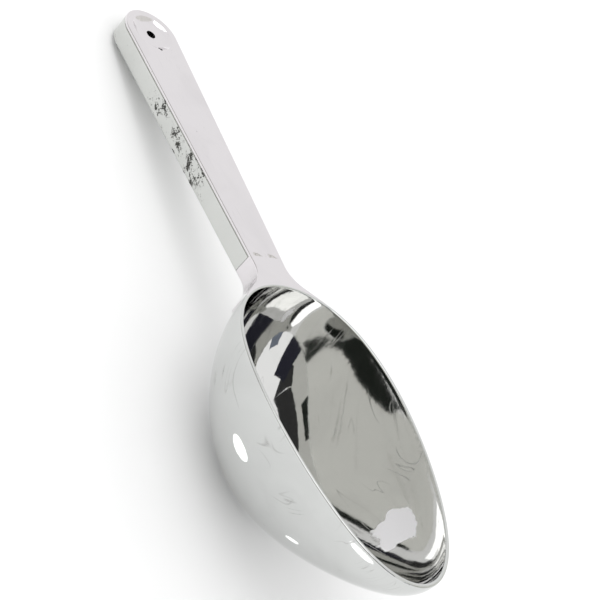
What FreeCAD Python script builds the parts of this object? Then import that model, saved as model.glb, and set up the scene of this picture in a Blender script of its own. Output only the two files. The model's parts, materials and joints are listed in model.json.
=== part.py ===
import FreeCAD, Part

import math
import os

import Sketcher
from FreeCAD import Placement, Rotation, Vector

# An ice scoop in millimetres: a deep oval bowl on a flat hollow handle, with a dished hang hole at its end.
#
# It is drawn level, with the handle's flat top on the plane z = 0, +X towards the bowl's nose and the
# handle's round end at negative x. The last step lays it down as it lies on a table, on the bowl's belly
# and the heel of the handle, and puts the origin at the middle of its footprint's box.
#
# Three pieces: scoop_body (bowl, rim, neck and the handle's top plate), handle_under_shell (the channel
# that closes the hollow handle) and hang_eyelet (the rolled bush in the hang hole).

DRIVING = {
    # Bowl, outside. Its outline and keel follow the egg law of egg_law().
    "bowl_rear_x": -10.7,
    "bowl_nose_x": 85.6,
    "bowl_half_width": 26.4,
    "outline_taper": 0.167,
    "outline_bluntness": 0.127,
    "bowl_depth": 39.7,
    "keel_taper": 0.301,
    "keel_bluntness": -0.238,
    "keel_skew": -0.111,
    "bowl_wall": 1.1,
    "nose_wall": 1.3,
    "rim_lift": 0.4,
    "rim_bend_x": 15.0,
    "rim_bend_radius": 1133.0,
    # Handle.
    "handle_end_x": -105.1,
    "handle_end_radius": 9.1,
    "handle_depth": 7.3,
    "neck_x": -20.0,
    "neck_half_width": 6.0,
    "flare_radius": 9.0,
    "flare_angle": 50.0,
    "flare_joint_x": -5.0,
    "plate_edge": 0.9,
    "plate_thickness": 1.8,
    "neck_edge_radius": 0.8,
    # Under shell.
    "shell_wall": 1.5,
    "shell_floor": 1.5,
    "shell_edge_radius": 0.8,
    "reveal": 0.3,
    "lap_clearance": 0.1,
    "spigot_length": 9.0,
    # Closing posts and their sockets.
    "post_radius": 1.5,
    "post_rear_x": -80.0,
    "post_front_x": -45.0,
    "socket_wall": 1.2,
    "post_end_gap": 0.3,
    # Dish and hang hole.
    "dish_radius": 6.8,
    "dish_depth": 2.0,
    "dish_floor": 1.0,
    "dish_edge_radius": 0.5,
    "hang_hole_radius": 1.5,
    "eyelet_wall": 0.5,
    "eyelet_flange_radius": 3.0,
    "eyelet_flange": 0.4,
    "eyelet_clearance": 0.05,
}

# Samples along and around an egg, and steps in the search for the resting pitch.
LAW_STATIONS = 17
RING_STATIONS = 16
PITCH_STEPS = 2000

# How far cutting tools and buried ends run past the faces that they cut or join.
CUT_MARGIN = 12.0
TOP_MARGIN = 60.0
NECK_STOCK = 2.0
OVERRUN = 1.0
BURIED = 0.2

# Where a sketch's free ends are first drawn; its constraints then move them.
FIRST_RADIUS = 2.0
FIRST_NECK_BEND_X = -17.0

# Tolerances for finding an edge by its place, and for a cut that takes nothing away.
ON_FACE = 1e-3
NO_VOLUME = 1e-6
NODES = ("scoop_body", "handle_under_shell", "hang_eyelet")

doc = FreeCAD.newDocument("ice_scoop")
sheet = doc.addObject("Spreadsheet::Sheet", "sizes")


# ---------------------------------------------------------------- sizes

def write_size(row, alias, value):
    """Put one plain number in the sheet, with its name beside it and as its alias."""
    sheet.set("A%d" % row, alias)
    sheet.set("B%d" % row, repr(value))
    sheet.setAlias("B%d" % row, alias)


def size(alias):
    """Read one size back from the sheet."""
    return float(sheet.get(alias))


def bind(target, prop, formula):
    """Bind a property to the sheet. Words in the formula that are sizes read from the sheet."""
    words = formula.replace("(", " ( ").replace(")", " ) ").split()
    named = ["sizes." + word if word in ALIASES else word for word in words]
    target.setExpression(prop, " ".join(named))


def egg_law(angle, largest, taper, bluntness, skew=0.0):
    """Half width or depth at an angle that runs from 0 at the rear to pi at the nose.

    It is a half ellipse, largest * sin(angle), times 1 + taper*c + bluntness*c^2 + skew*c^3 with
    c = cos(angle), so that both ends stay round.
    """
    c = math.cos(angle)
    return largest * math.sin(angle) * (1.0 + taper * c + bluntness * c ** 2 + skew * c ** 3)


def egg_angle(x, rear, nose):
    """The angle at which the egg law stands at a given x."""
    middle = (rear + nose) / 2.0
    return math.acos((middle - x) / (nose - middle))


def outline_half_width(x):
    """The bowl's outer half width at the rim, at a given x."""
    angle = egg_angle(x, size("bowl_rear_x"), size("bowl_nose_x"))
    return egg_law(angle, size("bowl_half_width"), size("outline_taper"), size("outline_bluntness"))


ALIASES = set(DRIVING) | {"flare_end_half_width", "dish_sphere_radius", "rest_pitch", "rest_x", "rest_z"}
row = 1
for alias, value in DRIVING.items():
    write_size(row, alias, value)
    row += 1
doc.recompute()

# Sizes that follow from the driving ones.
write_size(row, "flare_end_half_width", outline_half_width(size("flare_joint_x")))
dish_sphere_radius = (size("dish_radius") ** 2 + size("dish_depth") ** 2) / (2 * size("dish_depth"))
write_size(row + 1, "dish_sphere_radius", dish_sphere_radius)
REST_ROW = row + 2
write_size(REST_ROW, "rest_pitch", 0.0)
write_size(REST_ROW + 1, "rest_x", 0.0)
write_size(REST_ROW + 2, "rest_z", 0.0)
doc.recompute()


# ---------------------------------------------------------------- sketch helpers

def plane_of(body, role):
    """One of the body's own origin planes, found by its role."""
    return [feature for feature in body.Origin.OriginFeatures if feature.Role == role][0]


def new_sketch(body, name, role, height=None):
    """A sketch on an origin plane of its body, lifted along the plane's normal by a bound height."""
    sketch = body.newObject("Sketcher::SketchObject", name)
    sketch.AttachmentSupport = (plane_of(body, role), [""])
    sketch.MapMode = "FlatFace"
    if height is not None:
        bind(sketch, "AttachmentOffset.Base.z", height)
    return sketch


def line(sketch, start, end):
    """Add a straight edge and return its number."""
    return sketch.addGeometry(Part.LineSegment(Vector(*start, 0), Vector(*end, 0)), False)


def arc(sketch, centre, radius, start, end):
    """Add an arc that runs anticlockwise from start to end, in degrees, and return its number."""
    circle = Part.Circle(Vector(*centre, 0), Vector(0, 0, 1), radius)
    return sketch.addGeometry(Part.ArcOfCircle(circle, math.radians(start), math.radians(end)), False)


def constrain(sketch, formula, *definition):
    """Add a constraint; with a formula, its value is bound to the sheet."""
    number = sketch.addConstraint(Sketcher.Constraint(*definition))
    if formula:
        name = "fixed%d" % number
        sketch.renameConstraint(number, name)
        bind(sketch, "Constraints." + name, formula)
    return number


def circle_sketch(body, name, height, centre_x, radius):
    """A circle on the handle's centre line, at the x that the size named by centre_x holds."""
    sketch = new_sketch(body, name, "XY_Plane", height)
    ring = sketch.addGeometry(Part.Circle(Vector(size(centre_x), 0, 0), Vector(0, 0, 1), FIRST_RADIUS), False)
    constrain(sketch, None, "PointOnObject", ring, 3, -1)
    constrain(sketch, centre_x, "DistanceX", -1, 1, ring, 3, size(centre_x))
    constrain(sketch, radius, "Radius", ring, FIRST_RADIUS)
    return sketch


def bar_sketch(body, name, height, inset, front):
    """The handle's plan: tapered sides tangent to a round end, drawn inside the full plan by an inset."""
    sketch = new_sketch(body, name, "XY_Plane", height)
    end_x = size("handle_end_x")
    neck_x = size("neck_x")
    end_r = size("handle_end_radius")
    neck_h = size("neck_half_width")
    upper = line(sketch, (neck_x, neck_h), (end_x, end_r))
    round_end = arc(sketch, (end_x, 0), end_r, 90, 270)
    lower = line(sketch, (end_x, -end_r), (neck_x, -neck_h))
    close = line(sketch, (neck_x, -neck_h), (neck_x, neck_h))
    constrain(sketch, None, "Tangent", upper, 2, round_end, 1)
    constrain(sketch, None, "Tangent", round_end, 2, lower, 1)
    constrain(sketch, None, "Coincident", lower, 2, close, 1)
    constrain(sketch, None, "Coincident", close, 2, upper, 1)
    constrain(sketch, None, "PointOnObject", round_end, 3, -1)
    constrain(sketch, None, "Symmetric", close, 1, close, 2, -1)
    constrain(sketch, "handle_end_x", "DistanceX", -1, 1, round_end, 3, end_x)
    constrain(sketch, front, "DistanceX", -1, 1, close, 1, neck_x)
    constrain(sketch, "handle_end_radius - ( %s )" % inset, "Radius", round_end, end_r)
    constrain(sketch, "neck_half_width - ( %s )" % inset, "DistanceY", -1, 1, upper, 1, neck_h)
    return sketch


def pad(body, name, sketch, length, downwards=True):
    """Pad a sketch along its normal, or against it."""
    feature = body.newObject("PartDesign::Pad", name)
    feature.Profile = sketch
    feature.Reversed = downwards
    bind(feature, "Length", length)
    doc.recompute()
    return feature


def pocket(body, name, sketch, depth, downwards=True):
    """Pocket a sketch, and make sure that it really took material away."""
    before = body.Shape.Volume
    feature = body.newObject("PartDesign::Pocket", name)
    feature.Profile = sketch
    feature.Reversed = not downwards
    bind(feature, "Length", depth)
    doc.recompute()
    if body.Shape.Volume >= before - NO_VOLUME:
        raise RuntimeError("%s cuts nothing" % name)
    return feature


def edges_where(shape, test):
    """Names of the edges whose every sampled point passes a test."""
    names = []
    for number, edge in enumerate(shape.Edges, start=1):
        if edge.Length > ON_FACE and all(test(point) for point in edge.discretize(7)):
            names.append("Edge%d" % number)
    return names


def dress(body, kind, name, prop, value, test):
    """Fillet or chamfer the edges of the body's last feature that pass a test."""
    base = body.Tip
    names = edges_where(base.Shape, test)
    if not names:
        raise RuntimeError("%s finds no edge" % name)
    feature = body.newObject(kind, name)
    feature.Base = (base, names)
    bind(feature, prop, value)
    doc.recompute()
    return feature


# ---------------------------------------------------------------- the bowl's eggs

def rim_height(x):
    """Height of the rim: level as far as the bend, then an arc that drops gently to the nose."""
    run = max(0.0, x - size("rim_bend_x"))
    radius = size("rim_bend_radius")
    return -(radius - math.sqrt(radius ** 2 - run ** 2))


def carried_poles(samples, first, last, angles):
    """Poles, multiplicities and knots of a cubic spline through samples with given end slopes."""
    curve = Part.BSplineCurve()
    curve.interpolate(Points=samples, Parameters=angles, InitialTangent=first, FinalTangent=last, Scale=False)
    return curve.getPoles(), curve.getMultiplicities(), curve.getKnots(), curve.Degree


def unit_ring():
    """A closed cubic spline through points on a unit circle, its seam at the top."""
    turns = [2 * math.pi * step / RING_STATIONS for step in range(RING_STATIONS)]
    ring = Part.BSplineCurve()
    ring.interpolate(Points=[Vector(math.sin(turn), math.cos(turn), 0) for turn in turns], PeriodicFlag=True)
    return ring


def egg_solid(rear, nose, half_width, depth):
    """A closed egg whose lower half is the bowl; the upper half is cut away later.

    Lengthwise, one cubic spline carries x, half width and depth by the egg law, and a second one with
    the same knots carries the height of the widest line. Crosswise, every section is an ellipse with
    that half width and depth.
    """
    middle = (rear + nose) / 2.0
    reach = nose - middle
    width_law = (size("outline_taper"), size("outline_bluntness"))
    depth_law = (size("keel_taper"), size("keel_bluntness"), size("keel_skew"))
    angles = [math.pi * step / (LAW_STATIONS - 1) for step in range(LAW_STATIONS)]
    xs = [middle - reach * math.cos(angle) for angle in angles]
    widths = [egg_law(angle, half_width, *width_law) for angle in angles]
    depths = [egg_law(angle, depth, *depth_law) for angle in angles]
    widths[-1] = depths[-1] = 0.0
    rear_slope = Vector(0, half_width * (1 + sum(width_law)), depth * (1 + sum(depth_law)))
    nose_width = half_width * (1 - width_law[0] + width_law[1])
    nose_depth = depth * (1 - depth_law[0] + depth_law[1] - depth_law[2])
    samples = [Vector(*triple) for triple in zip(xs, widths, depths)]
    nose_slope = Vector(0, -nose_width, -nose_depth)
    poles, mults, knots, degree = carried_poles(samples, rear_slope, nose_slope, angles)
    rims = [Vector(rim_height(x) + size("rim_lift"), 0, angle) for x, angle in zip(xs, angles)]
    heights = carried_poles(rims, Vector(0, 0, 1), Vector(0, 0, 1), angles)[0]

    ring = unit_ring()
    grid = []
    for pole, height in zip(poles, heights):
        grid.append([Vector(pole.x, pole.y * p.x, height.x + pole.z * p.y) for p in ring.getPoles()])
    surface = Part.BSplineSurface()
    surface.buildFromPolesMultsKnots(
        grid, mults, ring.getMultiplicities(), knots, ring.getKnots(), False, True, degree, ring.Degree
    )
    first_u, last_u, first_v, last_v = surface.bounds()
    keel_v = (first_v + last_v) / 2.0
    halves = ((first_v, keel_v), (keel_v, last_v))
    sides = [surface.toShape(first_u, last_u, low_v, high_v) for low_v, high_v in halves]
    shell = Part.Shell(sides)
    shell.sewShape()
    solid = Part.Solid(shell)
    if solid.Volume < 0:
        solid.reverse()
    return solid


def bowl_blank():
    """The bowl's outside, still with its dome."""
    blank = doc.addObject("Part::Feature", "bowl_blank")
    blank.Shape = egg_solid(
        size("bowl_rear_x"), size("bowl_nose_x"), size("bowl_half_width"), size("bowl_depth")
    )
    return blank


def bowl_cavity():
    """The bowl's inside, one wall smaller all round and a thicker wall at the nose."""
    wall = size("bowl_wall")
    cavity = doc.addObject("Part::Feature", "bowl_cavity")
    cavity.Shape = egg_solid(
        size("bowl_rear_x") + wall,
        size("bowl_nose_x") - size("nose_wall"),
        size("bowl_half_width") - wall,
        size("bowl_depth") - wall,
    )
    return cavity


def above_rim():
    """Everything above the rim: the dome is cut off with it. Its lower face is flat, then an arc."""
    body = doc.addObject("PartDesign::Body", "above_rim")
    sketch = new_sketch(body, "rim_side_view", "XZ_Plane")
    bend_x = size("rim_bend_x")
    radius = size("rim_bend_radius")
    far_x = size("bowl_nose_x") + CUT_MARGIN
    near_x = size("neck_x") - OVERRUN
    turn = math.degrees(math.asin((far_x - bend_x) / radius))
    level = line(sketch, (near_x, 0), (bend_x, 0))
    bend = arc(sketch, (bend_x, -radius), radius, 90 - turn, 90)
    front = line(sketch, (far_x, rim_height(far_x)), (far_x, TOP_MARGIN))
    top = line(sketch, (far_x, TOP_MARGIN), (near_x, TOP_MARGIN))
    rear = line(sketch, (near_x, TOP_MARGIN), (near_x, 0))
    constrain(sketch, None, "Tangent", level, 2, bend, 2)
    constrain(sketch, None, "Coincident", bend, 1, front, 1)
    constrain(sketch, None, "Coincident", front, 2, top, 1)
    constrain(sketch, None, "Coincident", top, 2, rear, 1)
    constrain(sketch, None, "Coincident", rear, 2, level, 1)
    constrain(sketch, None, "PointOnObject", level, 1, -1)
    constrain(sketch, None, "Horizontal", level)
    constrain(sketch, None, "Vertical", front)
    constrain(sketch, None, "Horizontal", top)
    constrain(sketch, None, "Vertical", rear)
    constrain(sketch, "rim_bend_x", "DistanceX", -1, 1, level, 2, bend_x)
    constrain(sketch, "rim_bend_radius", "Radius", bend, radius)
    constrain(sketch, "bowl_nose_x + %s" % CUT_MARGIN, "DistanceX", -1, 1, front, 1, far_x)
    constrain(sketch, "neck_x - %s" % OVERRUN, "DistanceX", -1, 1, level, 1, near_x)
    constrain(sketch, None, "DistanceY", -1, 1, top, 1, TOP_MARGIN)
    block = body.newObject("PartDesign::Pad", "above_rim_block")
    block.Profile = sketch
    block.Midplane = True
    bind(block, "Length", "bowl_half_width * 3")
    doc.recompute()
    return body


# ---------------------------------------------------------------- the handle's top half

def neck_sketch(body):
    """The neck's plan: the handle's width, a concave arc on each side, and a flank to the bowl's outline."""
    sketch = new_sketch(body, "neck_plan", "XY_Plane", str(NECK_STOCK))
    neck_x = size("neck_x")
    half = size("neck_half_width")
    radius = size("flare_radius")
    joint_x = size("flare_joint_x")
    joint_y = size("flare_end_half_width")
    turn = size("flare_angle")
    bend_x = FIRST_NECK_BEND_X
    out_x = bend_x + radius * math.sin(math.radians(turn))
    out_y = half + radius * (1 - math.cos(math.radians(turn)))
    numbers = {}
    for side, sign in (("left", 1), ("right", -1)):
        straight = line(sketch, (neck_x, sign * half), (bend_x, sign * half))
        if sign > 0:
            bend = arc(sketch, (bend_x, half + radius), radius, 270, 270 + turn)
        else:
            bend = arc(sketch, (bend_x, -half - radius), radius, 90 - turn, 90)
        flank = line(sketch, (out_x, sign * out_y), (joint_x, sign * joint_y))
        start, end = (1, 2) if sign > 0 else (2, 1)
        constrain(sketch, None, "Tangent", straight, 2, bend, start)
        constrain(sketch, None, "Tangent", bend, end, flank, 1)
        constrain(sketch, "flare_radius", "Radius", bend, radius)
        constrain(sketch, "flare_joint_x", "DistanceX", -1, 1, flank, 2, joint_x)
        constrain(sketch, None, "Horizontal", straight)
        numbers[side] = (straight, bend, flank)
    front = line(sketch, (joint_x, joint_y), (joint_x, -joint_y))
    rear = line(sketch, (neck_x, -half), (neck_x, half))
    constrain(sketch, None, "Coincident", numbers["left"][2], 2, front, 1)
    constrain(sketch, None, "Coincident", front, 2, numbers["right"][2], 2)
    constrain(sketch, None, "Coincident", numbers["right"][0], 1, rear, 1)
    constrain(sketch, None, "Coincident", rear, 2, numbers["left"][0], 1)
    constrain(sketch, None, "Vertical", rear)
    constrain(sketch, "neck_x", "DistanceX", -1, 1, rear, 1, neck_x)
    constrain(sketch, "neck_half_width", "DistanceY", -1, 1, rear, 2, half)
    constrain(sketch, "neck_half_width", "DistanceY", rear, 1, -1, 1, half)
    constrain(sketch, "flare_end_half_width", "DistanceY", -1, 1, front, 1, joint_y)
    constrain(sketch, "flare_end_half_width", "DistanceY", front, 2, -1, 1, joint_y)
    constrain(sketch, "flare_angle * 1 deg", "Angle", numbers["left"][2], math.radians(turn))
    constrain(sketch, "flare_angle * -1 deg", "Angle", numbers["right"][2], math.radians(-turn))
    return sketch


def handle_top():
    """Top plate, neck block, locating lip, spigot, posts and dish, moulded in one with the bowl."""
    body = doc.addObject("PartDesign::Body", "handle_top")
    pad(body, "plate", bar_sketch(body, "plate_plan", None, "0", "neck_x"), "plate_edge")
    pad(body, "neck_block", neck_sketch(body), "handle_depth + %s" % NECK_STOCK)
    floor = -size("handle_depth")
    rear = size("neck_x")
    front = size("flare_joint_x")
    dress(
        body, "PartDesign::Fillet", "neck_edge", "Radius", "neck_edge_radius",
        lambda p: abs(p.z - floor) < ON_FACE and rear - BURIED < p.x < front + BURIED and p.y ** 2 > 1,
    )
    inset = "shell_wall + lap_clearance"
    lip = bar_sketch(body, "lip_plan", "0 - plate_edge", inset, "neck_x")
    pad(body, "locating_lip", lip, "plate_thickness - plate_edge")

    spigot = new_sketch(body, "spigot_section", "YZ_Plane", "neck_x + %s" % OVERRUN)
    half = size("neck_half_width") - size("shell_wall") - size("lap_clearance")
    low = -size("handle_depth") + size("shell_floor") + size("lap_clearance")
    high = -size("plate_edge") / 2
    corners = [(-half, low), (half, low), (half, high), (-half, high)]
    sides = [line(spigot, corners[n], corners[(n + 1) % 4]) for n in range(4)]
    for n in range(4):
        constrain(spigot, None, "Coincident", sides[n], 2, sides[(n + 1) % 4], 1)
    for n in (0, 2):
        constrain(spigot, None, "Horizontal", sides[n])
        constrain(spigot, None, "Vertical", sides[n + 1])
    width = "neck_half_width - shell_wall - lap_clearance"
    constrain(spigot, width, "DistanceX", -1, 1, sides[0], 2, half)
    constrain(spigot, width, "DistanceX", sides[0], 1, -1, 1, half)
    depth = "handle_depth - shell_floor - lap_clearance"
    constrain(spigot, depth, "DistanceY", sides[0], 1, -1, 1, -low)
    constrain(spigot, "plate_edge / 2", "DistanceY", sides[2], 1, -1, 1, -high)
    pad(body, "spigot", spigot, "spigot_length + %s" % OVERRUN)

    for place in ("rear", "front"):
        centre_x = "post_%s_x" % place
        circle = circle_sketch(body, "post_plan_" + place, "0 - plate_edge", centre_x, "post_radius")
        pad(body, "post_" + place, circle, "handle_depth - plate_edge - shell_floor - post_end_gap")
    ring = "dish_radius + dish_floor / 2"
    boss = circle_sketch(body, "dish_boss_plan", "0 - plate_edge", "handle_end_x", ring)
    pad(body, "dish_boss", boss, "dish_depth + dish_floor - plate_edge")

    side = new_sketch(body, "dish_side_view", "XZ_Plane")
    cut_dish(body, side)
    seat = "eyelet_flange_radius + eyelet_clearance"
    flat = circle_sketch(body, "flange_seat_plan", None, "handle_end_x", seat)
    pocket(body, "flange_seat", flat, "dish_depth")
    hole = circle_sketch(
        body, "hang_hole_plan", None, "handle_end_x", "hang_hole_radius + eyelet_wall + eyelet_clearance"
    )
    pocket(body, "hang_hole", hole, "handle_depth")
    return body


def cut_dish(body, sketch):
    """Groove the dish: a shallow spherical cap turned about the hang hole's axis, its rim rounded."""
    end_x = size("handle_end_x")
    sphere = size("dish_sphere_radius")
    height = sphere - size("dish_depth")
    reach = size("dish_radius")
    spread = math.degrees(math.asin(reach / sphere))
    bottom = arc(sketch, (end_x, height), sphere, 270, 270 + spread)
    lid = line(sketch, (end_x + reach, 0), (end_x + reach, OVERRUN))
    top = line(sketch, (end_x + reach, OVERRUN), (end_x, OVERRUN))
    axis = line(sketch, (end_x, OVERRUN), (end_x, -size("dish_depth")))
    constrain(sketch, None, "Coincident", bottom, 2, lid, 1)
    constrain(sketch, None, "Coincident", lid, 2, top, 1)
    constrain(sketch, None, "Coincident", top, 2, axis, 1)
    constrain(sketch, None, "Coincident", axis, 2, bottom, 1)
    constrain(sketch, None, "Vertical", lid)
    constrain(sketch, None, "Horizontal", top)
    constrain(sketch, None, "Vertical", axis)
    constrain(sketch, None, "PointOnObject", lid, 1, -1)
    constrain(sketch, None, "PointOnObject", bottom, 3, axis)
    constrain(sketch, "handle_end_x", "DistanceX", -1, 1, axis, 1, end_x)
    constrain(sketch, "dish_sphere_radius", "Radius", bottom, sphere)
    constrain(sketch, "dish_radius", "DistanceX", axis, 1, lid, 1, reach)
    constrain(sketch, None, "DistanceY", -1, 1, axis, 1, OVERRUN)
    before = body.Shape.Volume
    groove = body.newObject("PartDesign::Groove", "dish")
    groove.Profile = sketch
    groove.ReferenceAxis = (sketch, ["Edge%d" % (axis + 1)])
    groove.Angle = 360.0
    doc.recompute()
    if body.Shape.Volume >= before - NO_VOLUME:
        raise RuntimeError("the dish cuts nothing")
    dress(
        body, "PartDesign::Fillet", "dish_edge", "Radius", "dish_edge_radius",
        lambda p: abs(p.z) < ON_FACE and abs(math.hypot(p.x - end_x, p.y) - reach) < ON_FACE,
    )


# ---------------------------------------------------------------- the under shell and the eyelet

def handle_under_shell():
    """The channel under the handle: sides, round end, floor, two sockets and a boss at the hang hole."""
    body = doc.addObject("PartDesign::Body", "handle_under_shell")
    top = "0 - plate_edge"
    pad(body, "shell_block", bar_sketch(body, "shell_plan", top, "0", "neck_x"), "handle_depth - plate_edge")
    floor = -size("handle_depth")
    lap = -size("plate_edge")
    neck = size("neck_x")
    half = size("neck_half_width")
    dress(
        body, "PartDesign::Fillet", "heel_edge", "Radius", "shell_edge_radius",
        lambda p: abs(p.z - floor) < ON_FACE and (p.x < neck - ON_FACE or abs(p.y) > half - ON_FACE),
    )
    dress(
        body, "PartDesign::Chamfer", "shut_line_reveal", "Size", "reveal",
        lambda p: abs(p.z - lap) < ON_FACE and (p.x < neck - ON_FACE or abs(p.y) > half - ON_FACE),
    )
    hollow = bar_sketch(body, "hollow_plan", top, "shell_wall", "neck_x + %s" % OVERRUN)
    pocket(body, "hollow", hollow, "handle_depth - plate_edge - shell_floor")
    seat = "shell_floor - handle_depth - %s" % BURIED
    for place in ("rear", "front"):
        ring = "post_radius + socket_wall"
        boss = circle_sketch(body, "socket_plan_" + place, seat, "post_%s_x" % place, ring)
        rise = "handle_depth - plate_thickness - shell_floor - lap_clearance + %s" % BURIED
        pad(body, "socket_" + place, boss, rise, downwards=False)
    ring = "hang_hole_radius + eyelet_wall + socket_wall"
    boss = circle_sketch(body, "hang_boss_plan", seat, "handle_end_x", ring)
    rise = "handle_depth - dish_depth - dish_floor - shell_floor + %s" % BURIED
    pad(body, "hang_boss", boss, rise, downwards=False)
    for place in ("rear", "front"):
        hole = circle_sketch(body, "socket_bore_plan_" + place, top, "post_%s_x" % place, "post_radius")
        pocket(body, "socket_bore_" + place, hole, "handle_depth - plate_edge - shell_floor")
    hole = circle_sketch(
        body, "shell_hang_hole_plan", "0", "handle_end_x", "hang_hole_radius + eyelet_wall + eyelet_clearance"
    )
    pocket(body, "shell_hang_hole", hole, "handle_depth + %s" % OVERRUN)
    counterbore = circle_sketch(
        body, "heel_seat_plan", "0 - handle_depth", "handle_end_x", "eyelet_flange_radius + eyelet_clearance"
    )
    pocket(body, "heel_seat", counterbore, "eyelet_flange", downwards=False)
    return body


def hang_eyelet():
    """The rolled bush in the hang hole: a thin tube with a flange on the dish's floor and one in the heel."""
    body = doc.addObject("PartDesign::Body", "hang_eyelet")
    tube = "hang_hole_radius + eyelet_wall"
    low_face = "0 - handle_depth"
    flange = circle_sketch(body, "heel_flange_plan", low_face, "handle_end_x", "eyelet_flange_radius")
    pad(body, "heel_flange", flange, "eyelet_flange", downwards=False)
    shank = circle_sketch(body, "shank_plan", low_face, "handle_end_x", tube)
    pad(body, "shank", shank, "handle_depth - dish_depth", downwards=False)
    flange = circle_sketch(body, "dish_flange_plan", "0 - dish_depth", "handle_end_x", "eyelet_flange_radius")
    pad(body, "dish_flange", flange, "eyelet_flange", downwards=False)
    bore = circle_sketch(body, "bore_plan", "0", "handle_end_x", "hang_hole_radius")
    pocket(body, "bore", bore, "handle_depth + %s" % OVERRUN)
    rim = -size("dish_depth") + size("eyelet_flange")
    end = size("handle_end_x")
    flange_r = size("eyelet_flange_radius")
    dress(
        body, "PartDesign::Fillet", "flange_roll", "Radius", "eyelet_flange * 0.7",
        lambda p: abs(p.z - rim) < ON_FACE and abs(math.hypot(p.x - end, p.y) - flange_r) < ON_FACE,
    )
    return body


# ---------------------------------------------------------------- assembly

def boolean(kind, name, base, tool):
    """A Part boolean between two objects; the bowl's two sides stay two faces, so nothing is refined."""
    result = doc.addObject(kind, name)
    result.Base = base
    result.Tool = tool
    result.Refine = False
    doc.recompute()
    return result


def scoop_body():
    """Bowl and handle top in one moulding: the two joined, less all above the rim, less the cavity."""
    joined = boolean("Part::Fuse", "bowl_with_handle", bowl_blank(), handle_top())
    level = boolean("Part::Cut", "level_body", joined, above_rim())
    return boolean("Part::Cut", "scoop_body", level, bowl_cavity())


def lowest_pitch():
    """The nose-up pitch at which the belly and the handle's heel stand on one level."""
    heel_x = size("handle_end_x") - size("handle_end_radius") + size("shell_edge_radius")
    heel_z = -size("handle_depth")
    rear = size("bowl_rear_x")
    nose = size("bowl_nose_x")
    laws = (size("keel_taper"), size("keel_bluntness"), size("keel_skew"))
    steepest = 0.0
    for step in range(1, PITCH_STEPS):
        angle = math.pi * step / PITCH_STEPS
        x = (rear + nose) / 2 - (nose - rear) / 2 * math.cos(angle)
        z = rim_height(x) + size("rim_lift") - egg_law(angle, size("bowl_depth"), *laws)
        steepest = max(steepest, math.atan2(heel_z - z, x - heel_x))
    return math.degrees(steepest)


def lay_down(pieces):
    """Pitch the assembly nose up and bring the middle of its footprint's box to the origin."""
    pitch = lowest_pitch()
    turn = Placement(Vector(), Rotation(Vector(0, -1, 0), pitch))
    boxes = []
    for piece in pieces:
        turned = piece.Shape.copy()
        turned.Placement = turn.multiply(turned.Placement)
        boxes.append(turned.optimalBoundingBox(False, False))
    x_middle = (min(box.XMin for box in boxes) + max(box.XMax for box in boxes)) / 2
    z_low = min(box.ZMin for box in boxes)
    sheet.set("B%d" % REST_ROW, repr(pitch))
    sheet.set("B%d" % (REST_ROW + 1), repr(-x_middle))
    sheet.set("B%d" % (REST_ROW + 2), repr(-z_low))
    for piece in pieces:
        piece.Placement = Placement(Vector(-x_middle, 0, -z_low), Rotation(Vector(0, -1, 0), pitch))
        bind(piece, "Placement.Base.x", "rest_x")
        bind(piece, "Placement.Base.z", "rest_z")
        bind(piece, "Placement.Rotation.Angle", "rest_pitch")
    doc.recompute()


def check_and_write(pieces):
    """Refuse any failed object or bad shape, then write one STEP file per piece."""
    for item in doc.Objects:
        if "Invalid" in item.State or "Error" in item.State:
            raise RuntimeError("%s failed: %s" % (item.Name, item.State))
    os.makedirs("parts", exist_ok=True)
    for piece in pieces:
        shape = piece.Shape
        if shape.isNull() or not shape.isValid() or len(shape.Solids) != 1:
            raise RuntimeError("%s has no sound single solid" % piece.Label)
        shape.exportStep("parts/%s.step" % piece.Label)
        box = shape.optimalBoundingBox(False, False)
        print("%-20s %8.1f mm3  x %.2f..%.2f  y %.2f..%.2f  z %.2f..%.2f" % (
            piece.Label, shape.Volume, box.XMin, box.XMax, box.YMin, box.YMax, box.ZMin, box.ZMax))


pieces = [scoop_body(), handle_under_shell(), hang_eyelet()]
for piece, label in zip(pieces, NODES):
    piece.Label = label
lay_down(pieces)
check_and_write(pieces)
print("pitch %.4f  shift %.4f %.4f" % (size("rest_pitch"), size("rest_x"), size("rest_z")))
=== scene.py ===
"""An ice scoop in bright plating: a deep oval bowl on a flat hollow handle with a dished hang hole.

Every surface is worked out in the scoop's own level frame, in millimetres: the handle's flat top on
z = 0, +X towards the bowl's nose, and the XZ plane as the plane of symmetry. Lie then lays it down in
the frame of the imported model, where it rests on the bowl's belly and the heel of the handle.
"""
import json
import logging
import math
from dataclasses import dataclass, field
from enum import Enum

import bmesh
import bpy
import numpy as np
from mathutils import Matrix, Vector


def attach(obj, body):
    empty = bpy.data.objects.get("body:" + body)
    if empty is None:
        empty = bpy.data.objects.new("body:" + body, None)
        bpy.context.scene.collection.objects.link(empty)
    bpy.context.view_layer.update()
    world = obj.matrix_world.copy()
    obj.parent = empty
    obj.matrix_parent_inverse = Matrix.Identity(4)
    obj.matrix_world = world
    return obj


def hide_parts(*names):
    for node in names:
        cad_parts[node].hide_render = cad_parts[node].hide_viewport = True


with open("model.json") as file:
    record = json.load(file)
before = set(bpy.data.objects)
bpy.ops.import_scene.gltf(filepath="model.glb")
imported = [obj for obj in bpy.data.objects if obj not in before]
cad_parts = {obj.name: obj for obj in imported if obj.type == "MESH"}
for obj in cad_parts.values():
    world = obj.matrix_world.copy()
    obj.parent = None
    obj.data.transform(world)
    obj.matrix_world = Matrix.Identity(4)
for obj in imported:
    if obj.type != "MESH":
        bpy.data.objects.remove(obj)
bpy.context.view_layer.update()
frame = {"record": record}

log = logging.getLogger("ice_scoop")

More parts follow.
